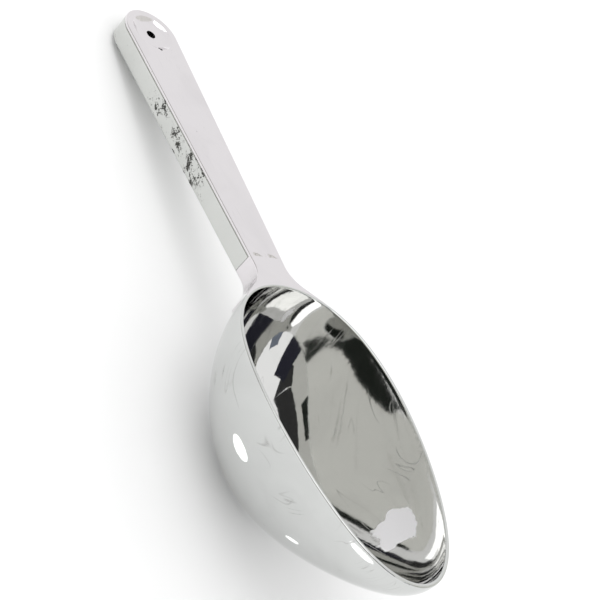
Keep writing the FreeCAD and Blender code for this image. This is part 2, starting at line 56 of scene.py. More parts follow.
MM = 0.001
SENSOR_WIDTH = 36.0
AIM_HEIGHT = 0.02
SMUDGE_GREY = (0.2, 0.2, 0.2, 1.0)
SCRATCH_GREY = (0.36, 0.36, 0.35, 1.0)
# White of the painted highlight spot.
HIGHLIGHT_WHITE = (0.93, 0.92, 0.94, 1.0)
DARK = (0.012, 0.015, 0.012)
DIM = (0.03, 0.03, 0.03)
Socket = bpy.types.NodeSocket
Value = float | Socket


# ------------ the lie of the scoop

@dataclass(frozen=True)
class Lie:
    """How the level scoop lies in the row frame: pitched nose up, then shifted.

    Attributes:
        pitch: Angle of the rim above the table, in radians.
        shift: Where the level frame's origin comes to lie, in millimetres.
    """

    pitch: float
    shift: tuple[float, float, float]

    @classmethod
    def from_record(cls, record: dict, hole_x: float, hole_z: float) -> "Lie":
        """Read the lie off the hang hole, whose place in the level frame is known.

        Args:
            record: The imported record.
            hole_x: The hole's x in the level frame, in millimetres.
            hole_z: The height of the middle of its wall there, in millimetres.

        Returns:
            The pitch and shift that carry the level hole to the record's mount.
        """
        mount = [entry for entry in record["mounts"] if entry["name"] == "hang_hole"][0]
        pitch = math.atan2(-mount["axis"][0], mount["axis"][2])
        x, y, z = (value / MM for value in mount["pos_m"])
        turned_x = hole_x * math.cos(pitch) - hole_z * math.sin(pitch)
        turned_z = hole_x * math.sin(pitch) + hole_z * math.cos(pitch)
        return cls(pitch, (x - turned_x, y, z - turned_z))

    def turn(self, vectors: np.ndarray) -> np.ndarray:
        """Turn level directions, whose last axis is x, y, z, into the row frame."""
        x, y, z = np.moveaxis(np.asarray(vectors, dtype=float), -1, 0)
        cos, sin = math.cos(self.pitch), math.sin(self.pitch)
        return np.stack([x * cos - z * sin, y, x * sin + z * cos], axis=-1)

    def place(self, points: np.ndarray) -> np.ndarray:
        """Carry level points in millimetres into the row frame in metres."""
        return (self.turn(points) + np.array(self.shift)) * MM


# ------------ meshes

class MeshMaker:
    """Collects surface patches of one piece and makes one welded, closed mesh of them."""

    def __init__(self, name: str, lie: Lie) -> None:
        """Start an empty piece.

        Args:
            name: The piece's name.
            lie: How the scoop lies in the row frame.
        """
        self.name = name
        self.lie = lie
        self.points: list[np.ndarray] = []
        self.faces: list[np.ndarray] = []
        self.marks: list[np.ndarray] = []
        self.count = 0

    def add(self, grid: np.ndarray, closed: bool = False, mark: float | np.ndarray = 0.0) -> None:
        """Add a patch given as a grid of points, rows by columns by 3, in the level frame.

        Args:
            grid: The patch's points.
            closed: Whether the last column joins the first.
            mark: A value kept for the material at each row, or one for the whole patch.
        """
        rows, cols = grid.shape[:2]
        number = self.count + np.arange(rows * cols).reshape(rows, cols)
        across = np.roll(number, -1, axis=1) if closed else number[:, 1:]
        near = number if closed else number[:, :-1]
        quads = np.stack([near[:-1], near[1:], across[1:], across[:-1]], axis=-1)
        self.points.append(grid.reshape(-1, 3))
        self.faces.append(quads.reshape(-1, 4))
        value = np.broadcast_to(np.asarray(mark, dtype=float).reshape(-1, 1), (rows, cols))
        self.marks.append(np.array(value).reshape(-1))
        self.count += rows * cols

    def finish(self, sharp: float = 40.0, weld: float = 2e-6) -> bpy.types.Object:
        """Weld the patches, point the faces outwards and shade them smooth.

        Args:
            sharp: Edges that turn by more than this many degrees stay sharp.
            weld: Points nearer than this, in metres, become one.

        Returns:
            The piece, linked to the scene, with its mark as a point attribute called wear_and_shade_side.
        """
        mesh = bpy.data.meshes.new(self.name)
        points = self.lie.place(np.concatenate(self.points))
        mesh.from_pydata(points.tolist(), [], np.concatenate(self.faces).tolist())
        layer = mesh.attributes.new("wear_and_shade_side", "FLOAT", "POINT")
        layer.data.foreach_set("value", np.concatenate(self.marks).astype(np.float32))
        work = bmesh.new()
        work.from_mesh(mesh)
        bmesh.ops.remove_doubles(work, verts=work.verts, dist=weld)
        bmesh.ops.dissolve_degenerate(work, edges=work.edges, dist=weld / 4)
        bmesh.ops.recalc_face_normals(work, faces=work.faces)
        work.to_mesh(mesh)
        work.free()
        mesh.polygons.foreach_set("use_smooth", np.ones(len(mesh.polygons), dtype=bool))
        mesh.set_sharp_from_angle(angle=math.radians(sharp))
        mesh.update()
        piece = bpy.data.objects.new(self.name, mesh)
        bpy.context.scene.collection.objects.link(piece)
        return piece


def quarter_round(radius: float, start: tuple[float, float], steps: int, upper: bool) -> np.ndarray:
    """A rounded edge as (inset, height) pairs, a quarter circle from the wall to the face.

    Args:
        radius: Radius of the round.
        start: Inset and height of the wall's end of the round.
        steps: Number of steps along it.
        upper: Whether the face lies above the wall, otherwise below.

    Returns:
        The pairs, one row each.
    """
    turn = np.linspace(0.0, math.pi / 2, steps + 1)
    rise = radius * np.sin(turn) * (1.0 if upper else -1.0)
    return np.stack([start[0] + radius * (1.0 - np.cos(turn)), start[1] + rise], axis=-1)


def blend_rows(first: np.ndarray, last: np.ndarray, shares: np.ndarray) -> np.ndarray:
    """Rows of points on the straight lines from one row to another, at the given shares of the way."""
    return first[None] + (last - first)[None] * np.asarray(shares)[:, None, None]


def at_height(plan: np.ndarray, height: float) -> np.ndarray:
    """Points (x, y) of a plan, all at one height."""
    return np.column_stack([plan, np.full(len(plan), height)])


def both_sides(half: np.ndarray) -> np.ndarray:
    """The +Y half of a plan followed back along its mirror image on the side of -Y."""
    return np.concatenate([half, (half * np.array([1.0, -1.0]))[-2::-1]])


# ------------ the bowl

@dataclass(frozen=True)
class EggLaw:
    """An egg-shaped half width or depth along the bowl.

    With t from 0 at the rear to pi at the nose and c = cos t, it is
    largest * sin t * (1 + taper c + bluntness c^2 + skew c^3), so both ends are round.
    """

    largest: float
    taper: float
    bluntness: float
    skew: float = 0.0

    def at(self, t: np.ndarray) -> np.ndarray:
        """The law's value at the angle t."""
        c = np.cos(t)
        shape = 1.0 + self.taper * c + self.bluntness * c ** 2 + self.skew * c ** 3
        return self.largest * np.sin(t) * shape


@dataclass(frozen=True)
class Rim:
    """The rim's side view: level behind the bend, then an arc that droops towards the nose."""

    bend_x: float = 15.0
    bend_radius: float = 1133.0

    def height(self, x: np.ndarray) -> np.ndarray:
        """The rim's height at x: 0, or radius less the arc's rise, beyond the bend."""
        past = np.maximum(np.asarray(x, dtype=float) - self.bend_x, 0.0)
        return np.sqrt(self.bend_radius ** 2 - past ** 2) - self.bend_radius


@dataclass(frozen=True)
class EggShell:
    """One skin of the bowl, outside or inside, hanging from a rim."""

    rear: float
    nose: float
    width: EggLaw
    depth: EggLaw
    rim: Rim
    lift: float

    def along(self, t: np.ndarray) -> np.ndarray:
        """x at the angle t: the middle less half the length times cos t."""
        middle = (self.rear + self.nose) / 2.0
        return middle - (self.nose - middle) * np.cos(t)

    def outline(self, t: np.ndarray, side: float) -> np.ndarray:
        """The skin's edge at rim height, on the side of +Y (side 1) or -Y (side -1)."""
        x = self.along(t)
        return np.stack([x, side * self.width.at(t), self.rim.height(x)], axis=-1)

    def skin(self, t: np.ndarray, v: np.ndarray, drop: float) -> np.ndarray:
        """The skin as a grid: every section is half an ellipse hung a small drop below the rim.

        Args:
            t: Angles along the bowl.
            v: Angles round the section, from -pi/2 at the -Y edge to pi/2 at the +Y edge.
            drop: Distance of the section's widest line below the rim; the depth is that much less.

        Returns:
            Points (x, w sin v, rim - drop - d cos v), t by v by 3. The depth law is measured from the
            lift above the rim, so d is short of it by the drop and the lift where the bowl is deepest.
        """
        x = self.along(t)[:, None]
        depth = self.depth.at(t) * (1.0 - (drop + self.lift) / self.depth.largest)
        y = self.width.at(t)[:, None] * np.sin(v)[None]
        z = self.rim.height(x) - drop - depth[:, None] * np.cos(v)[None]
        return np.stack([np.broadcast_to(x, y.shape), y, z], axis=-1)


@dataclass
class Bowl:
    """The deep oval bowl: two skins joined over a narrow rounded rim."""

    rear: float = -10.7
    nose: float = 85.6
    half_width: float = 26.4
    depth: float = 39.7
    wall: float = 1.1
    nose_wall: float = 1.3
    rim_round: float = 0.45
    rim_squareness: float = 2.6
    rim_lift: float = 0.4
    rim: Rim = field(default_factory=Rim)
    stations: int = 220
    round_stations: int = 120

    def shell(self, inset: float, nose_inset: float) -> EggShell:
        """A skin drawn inside the bowl's outer one by a wall."""
        return EggShell(
            self.rear + inset, self.nose - nose_inset,
            EggLaw(self.half_width - inset, taper=0.167, bluntness=0.127),
            EggLaw(self.depth - inset, taper=0.301, bluntness=-0.238, skew=-0.111),
            self.rim, self.rim_lift,
        )

    @property
    def outer(self) -> EggShell:
        """The outer skin."""
        return self.shell(0.0, 0.0)

    @property
    def inner(self) -> EggShell:
        """The inner skin."""
        return self.shell(self.wall, self.nose_wall)

    def crest(self, t: np.ndarray, side: float) -> np.ndarray:
        """The line along the top of the rim, halfway between the two skins."""
        return (self.outer.outline(t, side) + self.inner.outline(t, side)) / 2.0

    def bead(self, side: float) -> np.ndarray:
        """The rim's rounded top on one side, from the outer skin to the inner.

        The share s runs from 0 to 1 across it, and the height over the skins' edges is
        round * (1 - |2s - 1|^n)^(1/n), a flattened half circle.
        """
        t = np.linspace(0.0, math.pi, self.stations)
        share = 0.5 - 0.5 * np.cos(np.linspace(0.0, math.pi, 15))
        rows = blend_rows(self.outer.outline(t, side), self.inner.outline(t, side), share)
        power = self.rim_squareness
        arch = np.maximum(1.0 - np.abs(2.0 * share - 1.0) ** power, 0.0) ** (1.0 / power)
        rise = self.rim_round * (arch - 1.0)
        rows[:, :, 2] += rise[:, None]
        return rows

    def build(self, lie: Lie) -> bpy.types.Object:
        """Make the bowl's closed mesh."""
        maker = MeshMaker("bowl_shell", lie)
        t = np.linspace(0.0, math.pi, self.stations)
        v = np.linspace(-math.pi / 2, math.pi / 2, self.round_stations)
        maker.add(self.outer.skin(t, v, self.rim_round))
        # Mark 1 on the inner skin, 0 on the outer skin and bead: the bowl's material gives the 0 side a
        # darker colour, painted shade.
        maker.add(self.inner.skin(t, v, self.rim_round), mark=1.0)
        maker.add(self.bead(1.0))
        maker.add(self.bead(-1.0))
        return maker.finish()


# ------------ the handle

@dataclass
class Handle:
    """The flat hollow handle: a top plate with a dished end, a neck, an under shell and an eyelet."""

    end_x: float = -105.1
    end_radius: float = 9.1
    neck_x: float = -20.0
    neck_half: float = 6.0
    depth: float = 7.3
    plate_edge: float = 0.9
    top_round: float = 0.3
    heel_round: float = 0.8
    reveal: float = 0.3
    joint_gap: float = 0.12
    plate_break: float = 0.12
    face_drop: float = 0.02
    lip_drop: float = 0.1
    lip_inset: float = 0.03
    lip_foot: float = 0.06
    eyelet_clearance: float = 0.05
    eyelet_lead: float = 0.25
    roll_share: float = 0.7
    plate_wear: float = 0.25
    circle_share: float = 0.25
    dish_radius: float = 6.8
    dish_depth: float = 2.0
    dish_round: float = 0.5
    flange_radius: float = 3.0
    flange: float = 0.4
    hole_radius: float = 1.5
    tube_wall: float = 0.5
    flare_radius: float = 9.0
    flare_angle: float = math.radians(50.0)
    flare_end_x: float = -5.0
    end_steps: int = 96
    side_steps: int = 60

    @property
    def taper(self) -> float:
        """The angle each straight side makes with the centre line.

        The side is tangent to the round end, so it meets the neck's half width h at a distance L from
        the end's centre where r = h cos a + L sin a.
        """
        length = self.neck_x - self.end_x
        reach = math.hypot(length, self.neck_half)
        return math.asin(self.end_radius / reach) - math.atan2(self.neck_half, length)

    def outline(self, inset: float, front_gap: float = 0.0) -> np.ndarray:
        """The bar's plan, drawn inside by an inset: up one side, round the end, back down the other.

        Args:
            inset: Distance inside the full plan.
            front_gap: Distance by which the bar stops short of the neck joint.

        Returns:
            Points (x, y) from the joint at +Y round the end to the joint at -Y.
        """
        radius = self.end_radius - inset
        front = self.neck_x - front_gap
        a = self.taper
        turn = np.linspace(math.pi / 2 - a, math.pi, self.end_steps // 2)
        cap = np.stack([self.end_x + radius * np.cos(turn), radius * np.sin(turn)], axis=-1)
        meet = (radius - (front - self.end_x) * math.sin(a)) / math.cos(a)
        side = np.linspace([front, meet], cap[0], self.side_steps)
        half = np.concatenate([side[:-1], cap])
        return both_sides(half)

    def spine(self, ring: float, front_gap: float = 0.0) -> np.ndarray:
        """The line that a flat face closes on, point for point with the outline.

        Round the end it is a circle about the hang hole; along the sides it leaves the circle's front
        and follows the centre line to the joint.
        """
        front = self.neck_x - front_gap
        half_sides = self.side_steps - 1
        cap = self.end_steps // 2
        share = np.linspace(0.0, 1.0, half_sides + 1)[:-1]
        lead = self.circle_share
        on_circle = share > 1.0 - lead
        angle = np.where(on_circle, (share - (1.0 - lead)) / lead * (math.pi / 2 - self.taper), 0.0)
        start_x = self.end_x + ring
        straight = front + (start_x - front) * np.minimum(share / (1.0 - lead), 1.0)
        side = np.stack([
            np.where(on_circle, self.end_x + ring * np.cos(angle), straight), ring * np.sin(angle),
        ], axis=-1)
        turn = np.linspace(math.pi / 2 - self.taper, math.pi, cap)
        end = np.stack([self.end_x + ring * np.cos(turn), ring * np.sin(turn)], axis=-1)
        half = np.concatenate([side, end])
        return both_sides(half)

    def rings(self, profile: np.ndarray, front_gap: float = 0.0) -> np.ndarray:
        """The bar's wall: the plan carried down a profile of (inset, height) pairs."""
        return np.stack([at_height(self.outline(inset, front_gap), height) for inset, height in profile])

    def face(self, inset: float, height: float, ring: float, front_gap: float = 0.0) -> np.ndarray:
        """A flat face from the bar's edge in to its spine, its first row narrow to keep it flat."""
        edge = self.rings(np.array([[inset, height]]), front_gap)[0]
        middle = at_height(self.spine(ring, front_gap), height)
        return blend_rows(edge, middle, np.array([0.0, 0.012, 0.1, 0.5, 0.9, 0.985, 1.0]))

    def front_wall(self, profile: np.ndarray, front_gap: float) -> np.ndarray:
        """The bar's end face at the neck joint, ruled between the two sides of its wall."""
        wall = self.rings(profile, front_gap)
        return blend_rows(wall[:, 0], wall[:, -1], np.linspace(0.0, 1.0, 9))

    def turned(self, profile: np.ndarray, steps: int = 96) -> np.ndarray:
        """A profile of (radius, height) pairs turned about the hang hole's axis."""
        turn = np.linspace(0.0, 2.0 * math.pi, steps, endpoint=False)
        radius, height = profile[:, 0][:, None], profile[:, 1][:, None]
        x = self.end_x + radius * np.cos(turn)
        return np.stack([x, radius * np.sin(turn), np.broadcast_to(height, x.shape)], axis=-1)

    def dish_profile(self) -> np.ndarray:
        """The dish from its rounded lip down a spherical floor to the flange, as (radius, height) pairs.

        The floor is part of a sphere of radius (r^2 + d^2) / 2d, and the lip is a circle of its own
        tangent to the flat top and to the sphere.
        """
        sphere = (self.dish_radius ** 2 + self.dish_depth ** 2) / (2.0 * self.dish_depth)
        centre = sphere - self.dish_depth
        lip = self.dish_round
        lip_r = math.sqrt((sphere + lip) ** 2 - (centre + lip) ** 2)
        slope = math.atan2(lip_r, centre + lip)
        turn = np.linspace(0.0, slope, 9)
        rounded = np.stack([lip_r - lip * np.sin(turn), lip * np.cos(turn) - lip], axis=-1)
        seat_radius = self.flange_radius + self.eyelet_clearance
        swing = np.linspace(slope, math.asin(seat_radius / sphere), 26)[1:]
        floor = np.stack([sphere * np.sin(swing), centre - sphere * np.cos(swing)], axis=-1)
        seat = np.array([[seat_radius, -self.dish_depth], [self.hole_radius, -self.dish_depth]])
        return np.concatenate([rounded, floor, seat])

    def build_plate(self, lie: Lie) -> bpy.types.Object:
        """The handle's top plate: its edge, its rounded top, and the dish."""
        maker = MeshMaker("handle_plate", lie)
        round_top = quarter_round(self.top_round, (0.0, -self.top_round), 6, True)
        low = -self.plate_edge
        broken = [[self.plate_break, low], [0.0, low + self.plate_break]]
        profile = np.concatenate([broken, round_top])
        maker.add(self.rings(profile), mark=self.plate_wear)
        dish = self.dish_profile()
        maker.add(self.face(self.top_round, 0.0, dish[0, 0]))
        maker.add(self.hole_rings(dish))
        maker.add(self.face(self.plate_break, low, self.hole_radius))
        maker.add(self.hole_rings([(self.hole_radius, dish[-1, 1]), (self.hole_radius, low)]))
        maker.add(self.front_wall(profile, 0.0))
        return maker.finish()

    def hole_rings(self, profile: np.ndarray | list, front_gap: float = 0.0) -> np.ndarray:
        """(radius, height) pairs turned about the hang hole, point for point with the spine's circle."""
        rows = []
        for radius, height in profile:
            spine = self.spine(radius, front_gap)
            ring = spine[np.hypot(spine[:, 0] - self.end_x, spine[:, 1]) < radius + 1e-6]
            rows.append(at_height(ring, height))
        return np.stack(rows)

    def build_under_shell(self, lie: Lie) -> bpy.types.Object:
        """The channel that closes the handle from below, with a reveal along the shut line."""
        maker = MeshMaker("under_shell", lie)
        top = -self.plate_edge
        bottom = quarter_round(self.heel_round, (0.0, -self.depth + self.heel_round), 8, False)
        face_z = top - self.face_drop
        wall_top = top - self.reveal - self.lip_foot
        side = [
            [self.reveal, face_z], [self.reveal * 0.5, top - self.lip_drop],
            [self.lip_inset, top - self.reveal], [0.0, wall_top],
        ]
        levels = np.linspace(wall_top, -self.depth + self.heel_round, 8)[1:-1]
        wall = np.column_stack([np.zeros(len(levels)), levels])
        profile = np.concatenate([side, wall, bottom])
        gap = self.joint_gap
        maker.add(self.rings(profile, gap), mark=1.0)
        maker.add(self.front_wall(profile, gap))
        maker.add(self.face(self.reveal, face_z, self.flange_radius, gap))
        maker.add(self.face(self.heel_round, -self.depth, self.flange_radius, gap))
        bore = [(self.flange_radius, face_z), (self.flange_radius, -self.depth)]
        maker.add(self.hole_rings(bore, gap))
        return maker.finish()

    def build_eyelet(self, lie: Lie) -> bpy.types.Object:
        """The rolled bush in the hang hole: a tube with a rolled flange in the dish and one in the heel."""
        maker = MeshMaker("hang_eyelet_roll", lie)
        roll = self.flange * self.roll_share
        seat = -self.dish_depth
        turn = np.linspace(0.0, math.pi / 2, 7)
        outer_roll = np.stack([
            self.flange_radius - roll + roll * np.cos(turn), seat + self.flange - roll + roll * np.sin(turn),
        ], axis=-1)
        lead = self.eyelet_lead
        inner_roll = np.stack([
            self.hole_radius + lead - lead * np.sin(turn), seat + self.flange - lead + lead * np.cos(turn),
        ], axis=-1)
        tube = self.hole_radius + self.tube_wall
        low = -self.depth
        rest = np.array([
            [self.hole_radius, low], [self.flange_radius, low], [self.flange_radius, low + self.flange],
            [tube, low + self.flange], [tube, seat], [self.flange_radius, seat],
        ])
        profile = np.concatenate([outer_roll, inner_roll, rest, outer_roll[:1]])
        maker.add(self.turned(profile), closed=True)
        return maker.finish(sharp=30.0)


@dataclass
class Neck:
    """The neck block between handle and bowl: it flares from the handle's width to the bowl's outline."""

    handle: Handle
    bowl: Bowl
    side_wear: float = 0.6
    steps: int = 64
    lines: int = 25

    def side(self, inset: float) -> np.ndarray:
        """One side of the plan: along the handle's taper, a concave arc, and a straight flank.

        The arc of radius r turns the taper's direction up to the flare's angle. The flank starts where
        the arc ends and stops on the line along the top of the bowl's rim.

        Args:
            inset: Distance inside the full plan.

        Returns:
            Points (x, y) from the joint to the rim, on the side of +Y.
        """
        handle = self.handle
        start_angle = -handle.taper
        radius = handle.flare_radius + inset
        end_t = self.angle_at(handle.flare_end_x)
        end = self.bowl.outer.outline(np.array([end_t]), 1.0)[0, :2]
        begin = np.array([handle.neck_x, handle.neck_half])
        slope_in, slope_out = (
            np.array([math.cos(angle), math.sin(angle)]) for angle in (start_angle, handle.flare_angle)
        )
        left_in, left_out = (np.array([-slope[1], slope[0]]) for slope in (slope_in, slope_out))
        run = handle.flare_radius * (left_in - left_out)
        # Unknown lengths before and after the arc bring the side from the joint to the bowl's outline.
        lengths = np.linalg.solve(np.column_stack([slope_in, slope_out]), end - begin - run)
        first = begin + slope_in * lengths[0]
        centre = first + handle.flare_radius * left_in
        turn = np.linspace(start_angle, handle.flare_angle, self.steps // 2)
        arc = centre + radius * np.stack([np.sin(turn), -np.cos(turn)], axis=-1)
        straight_in = np.linspace(begin - inset * left_in, arc[0], 6)
        straight_in[0, 0] = handle.neck_x
        flank = np.linspace(arc[-1], end - inset * left_out, self.steps // 3)
        return np.concatenate([straight_in[:-1], arc, flank[1:]])

    def angle_at(self, x: float) -> float:
        """The egg's angle at a given x of the outer skin."""
        outer = self.bowl.outer
        middle = (outer.rear + outer.nose) / 2.0
        return math.acos((middle - x) / (outer.nose - middle))

    def crest_x(self, y: np.ndarray) -> np.ndarray:
        """x of the line along the top of the rim at a given distance from the centre line, at the rear."""
        t = np.linspace(0.0, 1.2, 400)
        line = self.bowl.crest(t, 1.0)
        return np.interp(np.abs(y), line[:, 1], line[:, 0])

    def loop(self, inset: float) -> tuple[np.ndarray, np.ndarray, np.ndarray, np.ndarray]:
        """The plan's four edges: the joint, the +Y side, the rim's crest and the -Y side."""
        side = self.side(inset)
        last = side[-1].copy()
        side[-1] = [self.crest_x(last[1:2])[0], last[1]]
        mirror = side * np.array([1.0, -1.0])
        share = np.linspace(-1.0, 1.0, self.lines)
        joint = np.column_stack([np.full(self.lines, self.handle.neck_x), share * side[0, 1]])
        y = share * side[-1, 1]
        front = np.column_stack([self.crest_x(y), y])
        return joint, side, front, mirror

    def face(self, inset: float, height: float) -> np.ndarray:
        """A flat face of the neck, blended from its four edges as a Coons patch."""
        joint, side, front, mirror = self.loop(inset)
        s = np.linspace(0.0, 1.0, len(side))[:, None, None]
        k = np.linspace(0.0, 1.0, self.lines)[None, :, None]
        across = (1.0 - k) * mirror[:, None] + k * side[:, None]
        along = (1.0 - s) * joint[None] + s * front[None]
        joint_line = (1.0 - k) * joint[0] + k * joint[-1]
        front_line = (1.0 - k) * front[0] + k * front[-1]
        corners = (1.0 - s) * joint_line + s * front_line
        plan = across + along - corners
        return np.concatenate([plan, np.full(plan.shape[:2] + (1,), height)], axis=-1)

    def build(self, lie: Lie) -> bpy.types.Object:
        """Make the neck block, rounded along both edges of each side."""
        maker = MeshMaker("neck_block", lie)
        handle = self.handle
        top = quarter_round(handle.top_round, (0.0, -handle.top_round), 6, True)[::-1]
        bottom = quarter_round(handle.heel_round, (0.0, -handle.depth + handle.heel_round), 8, False)
        middle = np.linspace(-handle.top_round, -handle.depth + handle.heel_round, 7)[1:-1]
        profile = np.concatenate([top, np.column_stack([np.zeros(len(middle)), middle]), bottom])
        walls = {name: [] for name in ("joint", "side", "front", "mirror")}
        for inset, height in profile:
            for name, edge in zip(walls, self.loop(inset)):
                walls[name].append(at_height(edge, height))
        for name, rows in walls.items():
            maker.add(np.stack(rows), mark=self.side_wear if name in ("side", "mirror") else 0.0)
        maker.add(self.face(handle.top_round, 0.0))
        maker.add(self.face(handle.heel_round, -handle.depth))
        return maker.finish()


# ------------ finishes

class NodeTree:
    """A thin layer over a node tree that makes linked nodes in one call."""

    def __init__(self, tree: bpy.types.NodeTree) -> None:
        """Wrap a tree."""
        self.tree = tree

    def node(self, kind: str, inputs: dict | None = None, **settings) -> bpy.types.Node:
        """Add a node.

        Args:
            kind: The node's type name.
            inputs: Socket name or number to a plain value or to an output socket to link from.
            **settings: Properties set on the node itself.

        Returns:
            The new node.
        """
        made = self.tree.nodes.new(kind)
        for name, value in settings.items():
            setattr(made, name, value)
        for name, value in (inputs or {}).items():
            socket = made.inputs[name]
            if isinstance(value, Socket):
                self.tree.links.new(value, socket)
            else:
                socket.default_value = value
        return made

    def math(self, operation: str, first: Value, second: Value = 0.0) -> Socket:
        """A Math node's output."""
        return self.node("ShaderNodeMath", {0: first, 1: second}, operation=operation).outputs[0]

    def ramp(self, value: Value, low: float, high: float, to_low: float = 0.0,
             to_high: float = 1.0) -> Socket:
        """A value mapped smoothly from one range to another."""
        return self.node("ShaderNodeMapRange", {
            "Value": value, "From Min": low, "From Max": high, "To Min": to_low, "To Max": to_high,
        }, interpolation_type="SMOOTHSTEP", clamp=True).outputs["Result"]

    def noise(self, vector: Socket, scale: Value, detail: float = 2.0, rough: float = 0.5,
              distortion: float = 0.0) -> Socket:
        """A noise texture's value."""
        return self.node("ShaderNodeTexNoise", {
            "Vector": vector, "Scale": scale, "Detail": detail, "Roughness": rough, "Distortion": distortion,
        }).outputs["Fac"]

    def mix(self, factor: Value, first: Socket | tuple, second: Socket | tuple) -> Socket:
        """A colour mix's output."""
        return self.node("ShaderNodeMix", {0: factor, 6: first, 7: second}, data_type="RGBA").outputs[2]

    def mapped(self, vector: Socket, scale: tuple[float, float, float]) -> Socket:
        """Coordinates stretched by a Mapping node."""
        return self.node("ShaderNodeMapping", {"Vector": vector, "Scale": scale}).outputs[0]


class EffectGroup:
    """A shader node group with named inputs and outputs, built once and shared by the finishes."""

    def __init__(self, name: str, inputs: dict[str, float], outputs: tuple[str, ...]) -> None:
        """Make an empty group.

        Args:
            name: The group's name.
            inputs: Names and defaults of its number inputs; every group also takes a Vector.
            outputs: Names of its number outputs.
        """
        self.tree = bpy.data.node_groups.new(name, "ShaderNodeTree")
        self.tree.interface.new_socket("Vector", in_out="INPUT", socket_type="NodeSocketVector")
        for label, default in inputs.items():
            socket = self.tree.interface.new_socket(label, in_out="INPUT", socket_type="NodeSocketFloat")
            socket.default_value = default
        for label in outputs:
            self.tree.interface.new_socket(label, in_out="OUTPUT", socket_type="NodeSocketFloat")
        self.net = NodeTree(self.tree)
        self.source = self.net.node("NodeGroupInput")
        self.sink = self.net.node("NodeGroupOutput")

    def give(self, label: str, value: Socket) -> None:
        """Connect a value to one of the group's outputs."""
        self.tree.links.new(value, self.sink.inputs[label])

    def place(self, net: NodeTree, vector: Socket, **values: Value) -> "bpy.types.bpy_prop_collection":
        """Place the group in a material with its own values, and give its outputs."""
        return net.node("ShaderNodeGroup", {"Vector": vector, **values}, node_tree=self.tree).outputs


def wave_group() -> EffectGroup:
    """Slow swells of moulded plastic under plating, with a finer orange peel on top, as a height."""
    group = EffectGroup("moulding_swell", {"Size": 90.0, "Peel": 0.12}, ("Height",))
    net, given = group.net, group.source.outputs
    swell = net.noise(given["Vector"], given["Size"], detail=1.0)
    peel_scale = net.math("MULTIPLY", given["Size"], 11.0)
    peel = net.noise(given["Vector"], peel_scale)
    fine = net.math("MULTIPLY", peel, given["Peel"])
    group.give("Height", net.math("ADD", swell, fine))
    return group


def scratch_group() -> EffectGroup:
    """Hairline scratches: lines where a stretched noise crosses its middle, kept in patches."""
    group = EffectGroup("hairline_scratches", {"Turn": 0.0, "Amount": 0.5}, ("Mask",))
    net, given = group.net, group.source.outputs
    turn = net.node("ShaderNodeCombineXYZ", {"Z": given["Turn"]})
    total = None
    for number, (length, across) in enumerate(((30.0, 420.0), (46.0, 700.0))):
        mapped = net.node("ShaderNodeMapping", {
            "Vector": given["Vector"], "Rotation": turn.outputs[0],
            "Location": (0.31 * number, 0.17 * number, 0.0), "Scale": (length, across, length),
        })
        grain = net.noise(mapped.outputs[0], 1.0, detail=1.0, distortion=0.4)
        ridge = net.math("ABSOLUTE", net.math("SUBTRACT", grain, 0.5))
        thin = net.ramp(ridge, 0.0, 0.012, 1.0, 0.0)
        patch = net.noise(given["Vector"], 60.0 + 35.0 * number, detail=2.0)
        kept = net.math("MULTIPLY", thin, net.ramp(patch, 0.54, 0.66))
        total = kept if total is None else net.math("MAXIMUM", total, kept)
    group.give("Mask", net.math("MULTIPLY", total, given["Amount"]))
    return group


def smudge_group() -> EffectGroup:
    """Handling smudges: broad soft patches where the plating is a little duller."""
    group = EffectGroup("handling_smudges", {"Size": 70.0}, ("Mask",))
    net, given = group.net, group.source.outputs
    broad = net.noise(given["Vector"], given["Size"], detail=4.0, distortion=0.8)
    group.give("Mask", net.ramp(broad, 0.42, 0.72))
    return group


def pit_group() -> EffectGroup:
    """Pitted wear: specks and flakes where the plating has gone, gathered about one stretch of X."""
    group = EffectGroup(
        "pitted_wear", {"Density": 0.5, "Grain": 1500.0, "Middle": 0.0, "Reach": 1.0}, ("Mask", "Height")
    )
    net, given = group.net, group.source.outputs
    vector = given["Vector"]
    patches = net.noise(vector, 120.0, detail=4.0, rough=0.7)
    streak = net.noise(net.mapped(vector, (160.0, 520.0, 520.0)), 1.0, detail=4.0, rough=0.65, distortion=0.6)
    flakes = net.noise(vector, given["Grain"], detail=4.0, rough=0.7)
    cluster = net.ramp(patches, 0.46, 0.66)
    along = net.node("ShaderNodeSeparateXYZ", {0: vector}).outputs["X"]
    off = net.math("ABSOLUTE", net.math("SUBTRACT", along, given["Middle"]))
    stretch = net.ramp(net.math("DIVIDE", off, given["Reach"]), 0.55, 1.1, 1.0, 0.12)
    gathered = net.math("MULTIPLY", net.math("ADD", net.math("MULTIPLY", cluster, 0.7), 0.3), stretch)
    level = net.math("MULTIPLY", gathered, given["Density"])
    combined = net.math("ADD", net.math("MULTIPLY", flakes, 0.55), net.math("MULTIPLY", streak, 0.45))
    edge = net.math("SUBTRACT", 0.66, net.math("MULTIPLY", level, 0.22))
    over = net.math("SUBTRACT", combined, edge)
    mask = net.ramp(over, 0.0, 0.035)
    group.give("Mask", mask)
    group.give("Height", net.math("MULTIPLY", mask, -1.0))
    return group


def painted_highlight_group() -> EffectGroup:
    """A painted highlight: a white spot, full inside a radius about a point, its edge lobed by a noise."""
    group = EffectGroup("painted_highlight_spot", {"X": 0.0, "Y": 0.0, "Z": 0.0, "Radius": 0.006}, ("Mask",))
    net, given = group.net, group.source.outputs
    middle = net.node("ShaderNodeCombineXYZ", {axis: given[axis] for axis in ("X", "Y", "Z")})
    ends = {0: given["Vector"], 1: middle.outputs[0]}
    away = net.node("ShaderNodeVectorMath", ends, operation="DISTANCE").outputs["Value"]
    share = net.math("DIVIDE", away, given["Radius"])
    lobes = net.noise(given["Vector"], 190.0, detail=2.0)
    edge = net.math("ADD", share, net.math("MULTIPLY", net.math("SUBTRACT", lobes, 0.5), 1.1))
    group.give("Mask", net.ramp(edge, 0.86, 0.98, 1.0, 0.0))
    return group


